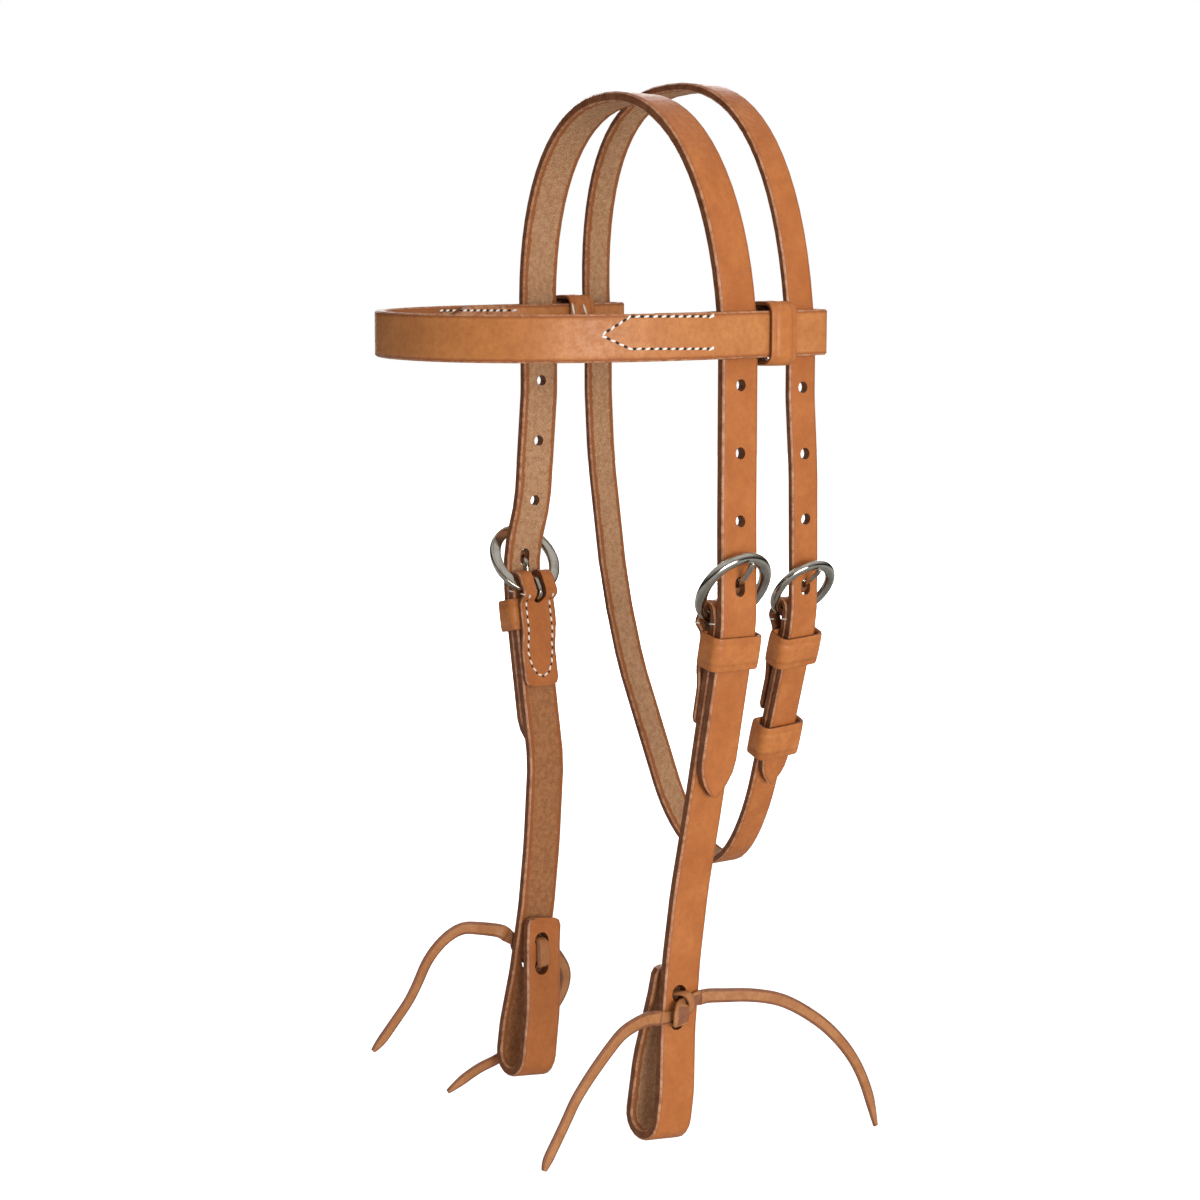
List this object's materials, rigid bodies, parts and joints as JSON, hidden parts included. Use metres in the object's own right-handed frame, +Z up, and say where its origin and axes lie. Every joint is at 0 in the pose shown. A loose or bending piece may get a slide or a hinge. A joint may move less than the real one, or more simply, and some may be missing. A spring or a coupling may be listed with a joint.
{
  "type": "western headstall",
  "caption": "Bridle headstall of flat leather straps: crown strap, throat strap, sliding browband, buckled cheek straps and laced bit loops.",
  "frame": {"origin": "under the middle of the crown strap's arch, where it rests on the horse's poll", "axes": "+Z up, -Y forwards along the horse's face, +X to the horse's near (left) side, where the throat strap buckles"},
  "size_m": [0.1852, 0.2039, 0.473],
  "materials": {
    "strap_leather": "russet harness leather, waxed grain side out, burnished dark edges",
    "keeper_leather": "thin russet leather with creased edge lines",
    "lace_leather": "supple tan lace, grain side out",
    "nickel": "polished nickel plate"
  },
  "bodies": {
    "headstall": {"crown_strap": "strap_leather", "throat_strap": "strap_leather", "cheek_strap_near": "strap_leather", "cheek_strap_far": "strap_leather", "cheek_keeper_near": "keeper_leather", "cheek_keeper_far": "keeper_leather", "throat_keeper_fixed": "keeper_leather", "bit_tie_near": "lace_leather", "bit_tie_far": "lace_leather", "bit_tie_tail_near_front": "lace_leather", "bit_tie_tail_near_rear": "lace_leather", "bit_tie_tail_far_front": "lace_leather", "bit_tie_tail_far_rear": "lace_leather"},
    "browband": {"browband": "strap_leather", "browband_keeper_near": "keeper_leather", "browband_keeper_far": "keeper_leather"},
    "near_frame": {"cheek_buckle_near_frame": "nickel"},
    "near_tongue": {"cheek_buckle_near_tongue": "nickel"},
    "far_frame": {"cheek_buckle_far_frame": "nickel"},
    "far_tongue": {"cheek_buckle_far_tongue": "nickel"},
    "throat_frame": {"throat_buckle_frame": "nickel"},
    "throat_tongue": {"throat_buckle_tongue": "nickel"},
    "sliding_keeper": {"throat_keeper_sliding": "keeper_leather"}
  },
  "joints": [
    {"name": "browband_slide", "type": "slide", "parent": "headstall", "child": "browband", "axis": [0, 0, 1], "range_m": [-0.016, 0.002]},
    {"name": "near_frame_hinge", "type": "hinge", "parent": "headstall", "child": "near_frame", "pos_m": [0.07315, -0.0073, -0.21763], "axis": [0, 1, 0], "range_deg": [0, 1.5]},
    {"name": "near_tongue_hinge", "type": "hinge", "parent": "near_frame", "child": "near_tongue", "pos_m": [0.0704, -0.0073, -0.22187], "axis": [0, 1, 0], "range_deg": [0, 1.5]},
    {"name": "far_frame_hinge", "type": "hinge", "parent": "headstall", "child": "far_frame", "pos_m": [-0.07315, -0.0073, -0.21763], "axis": [0, -1, 0], "range_deg": [0, 1.5]},
    {"name": "far_tongue_hinge", "type": "hinge", "parent": "far_frame", "child": "far_tongue", "pos_m": [-0.0704, -0.0073, -0.22187], "axis": [0, -1, 0], "range_deg": [0, 1.5]},
    {"name": "throat_frame_hinge", "type": "hinge", "parent": "headstall", "child": "throat_frame", "pos_m": [0.064, 0.0386, -0.22029], "axis": [0, 1, 0], "range_deg": [0, 1.5]},
    {"name": "throat_tongue_hinge", "type": "hinge", "parent": "throat_frame", "child": "throat_tongue", "pos_m": [0.06179, 0.0386, -0.22312], "axis": [0, 1, 0], "range_deg": [0, 1.5]},
    {"name": "throat_keeper_slide", "type": "slide", "parent": "headstall", "child": "sliding_keeper", "axis": [0.3461, -0.073, 0.9354], "range_m": [-0.007, 0.0015]}
  ]
}
